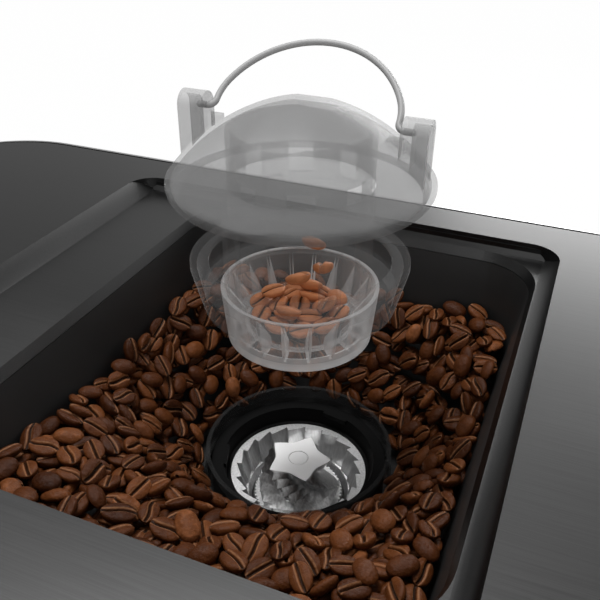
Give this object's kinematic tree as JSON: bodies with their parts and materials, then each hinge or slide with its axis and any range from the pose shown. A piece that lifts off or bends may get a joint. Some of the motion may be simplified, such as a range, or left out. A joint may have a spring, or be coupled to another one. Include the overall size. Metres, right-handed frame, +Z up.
{
  "type": "semi-automatic espresso machine",
  "caption": "Semi-automatic espresso machine with a bean hopper sunk in its top panel, conical burr grinder, clear lifted burr cap, brew group, portafilter, steam wand, tank and drip tray.",
  "frame": {"origin": "the plane of the feet, under the middle of the footprint", "axes": "+Z up, -Y towards the person at the machine's front, +X to that person's right"},
  "size_m": [0.38, 0.372, 0.4825],
  "materials": {
    "aluminium": "cast",
    "beans": "roasted",
    "board_green": "matte",
    "brass": "machined",
    "clear_blue": "clear",
    "clear_smoke": "clear",
    "dark_panel": "gloss",
    "dark_plastic": "matte",
    "grey_plastic": "matte",
    "red_plastic": "gloss",
    "rubber": "matte",
    "silicone": "satin",
    "steel_burr": "satin",
    "steel_polished": "polished",
    "steel_shell": "brushed"
  },
  "bodies": {
    "chassis": {"base_pan": "dark_plastic", "rubber_feet": "rubber", "rear_cover": "steel_shell", "side_panel_left": "steel_shell", "side_panel_right": "steel_shell", "column_front": "steel_shell", "bulkhead": "steel_shell", "main_shelf": "grey_plastic", "control_panel": "steel_shell", "top_panel": "dark_panel", "hopper_tub": "dark_plastic", "bean_charge": "beans", "throat_collar": "clear_smoke", "grinder_housing": "aluminium", "shaft_bearing": "steel_burr", "gearbox_case": "grey_plastic", "grinder_motor": "grey_plastic", "grounds_chute": "dark_plastic", "portafilter_cradle": "dark_plastic", "mounting_screws": "steel_burr", "group_head": "steel_polished", "group_gasket": "rubber", "shower_screen": "steel_shell", "thermoblock": "aluminium", "water_pump": "grey_plastic", "water_pipes": "silicone", "steam_valve": "brass", "pressure_gauge": "steel_polished", "gauge_glass": "clear_smoke", "control_board": "board_green", "power_inlet": "dark_panel"},
    "adjuster": {"adjusting_ring": "dark_plastic", "crown_gear": "dark_plastic", "ring_burr": "steel_burr"},
    "burr_drive": {"cone_burr": "steel_burr", "burr_shaft": "steel_burr", "burr_bolt": "steel_burr", "drive_gear": "steel_burr"},
    "motor_rotor": {"motor_pinion": "steel_burr"},
    "size_dial": {"grind_size_dial": "steel_polished"},
    "carrier": {"dome_cap": "clear_smoke", "carrier_body": "clear_smoke", "feed_ring": "clear_smoke"},
    "bail": {"bail_handle": "steel_polished"},
    "portafilter": {"portafilter_cup": "steel_polished", "filter_basket": "steel_polished", "twin_spout": "steel_polished", "portafilter_handle": "dark_plastic"},
    "wand": {"steam_wand": "steel_polished", "wand_grip": "rubber"},
    "steam_control": {"steam_dial": "steel_polished"},
    "needle": {"gauge_needle": "red_plastic"},
    "tray": {"drip_tray": "grey_plastic"},
    "grate": {"drip_grate": "steel_shell"},
    "float": {"tray_float": "red_plastic"},
    "tank": {"water_tank": "clear_blue"},
    "tank_flap": {"tank_lid": "clear_blue"},
    "single_button": {"single_cup_button": "steel_polished"},
    "double_button": {"double_cup_button": "steel_polished"},
    "power_switch": {"power_button": "steel_polished"}
  },
  "joints": [
    {"name": "carrier_lift", "type": "slide", "parent": "chassis", "child": "carrier", "axis": [0, 0, 1], "range_m": [-0.0674, 0]},
    {"name": "bail_swing", "type": "hinge", "parent": "carrier", "child": "bail", "pos_m": [0.037, 0.059, 0.464], "axis": [1, 0, 0], "range_deg": [-36, 137]},
    {"name": "adjuster_turn", "type": "hinge", "parent": "chassis", "child": "adjuster", "pos_m": [0.037, 0.059, 0.32], "axis": [0, 0, 1], "range_deg": [-16, 16]},
    {"name": "size_dial_turn", "type": "hinge", "parent": "chassis", "child": "size_dial", "pos_m": [0.037, -0.091, 0.31071], "axis": [0, 1, 0], "range_deg": [-145, 145]},
    {"name": "burr_spin", "type": "hinge", "parent": "chassis", "child": "burr_drive", "pos_m": [0.037, 0.059, 0.32], "axis": [0, 0, 1], "continuous": true},
    {"name": "motor_spin", "type": "hinge", "parent": "chassis", "child": "motor_rotor", "pos_m": [0.073, 0.059, 0.26], "axis": [0, 0, 1], "continuous": true},
    {"name": "portafilter_turn", "type": "hinge", "parent": "chassis", "child": "portafilter", "pos_m": [-0.09, -0.035, 0.255], "axis": [0, 0, 1], "range_deg": [-45, 0]},
    {"name": "wand_swing", "type": "hinge", "parent": "chassis", "child": "wand", "pos_m": [-0.165, -0.02, 0.266], "axis": [0, 1, 0], "range_deg": [0, 28]},
    {"name": "steam_dial_turn", "type": "hinge", "parent": "chassis", "child": "steam_control", "pos_m": [-0.122, -0.091, 0.342], "axis": [0, 1, 0], "range_deg": [0, 150]},
    {"name": "needle_turn", "type": "hinge", "parent": "chassis", "child": "needle", "pos_m": [-0.068, -0.091, 0.342], "axis": [0, 1, 0], "range_deg": [0, 270]},
    {"name": "tray_slide", "type": "slide", "parent": "chassis", "child": "tray", "axis": [0, -1, 0], "range_m": [0, 0.16]},
    {"name": "grate_lift", "type": "slide", "parent": "tray", "child": "grate", "axis": [0, 0, 1], "range_m": [0, 0.04]},
    {"name": "float_rise", "type": "slide", "parent": "tray", "child": "float", "axis": [0, 0, 1], "range_m": [0, 0.008]},
    {"name": "tank_slide", "type": "slide", "parent": "chassis", "child": "tank", "axis": [0, 1, 0], "range_m": [0, 0.06]},
    {"name": "tank_flap_hinge", "type": "hinge", "parent": "tank", "child": "tank_flap", "pos_m": [0, 0.1085, 0.2538], "axis": [1, 0, 0], "range_deg": [0, 60]},
    {"name": "single_press", "type": "slide", "parent": "chassis", "child": "single_button", "axis": [0, 1, 0], "range_m": [0, 0.0025], "stiffness_N_per_m": 400, "springref_m": -0.001},
    {"name": "double_press", "type": "slide", "parent": "chassis", "child": "double_button", "axis": [0, 1, 0], "range_m": [0, 0.0025], "stiffness_N_per_m": 400, "springref_m": -0.001},
    {"name": "power_press", "type": "slide", "parent": "chassis", "child": "power_switch", "axis": [0, 1, 0], "range_m": [0, 0.0025], "stiffness_N_per_m": 400, "springref_m": -0.001}
  ],
  "couplings": [
    {"joint": "motor_spin", "follows": "burr_spin", "ratio": -5},
    {"joint": "size_dial_turn", "follows": "adjuster_turn", "ratio": -9}
  ]
}
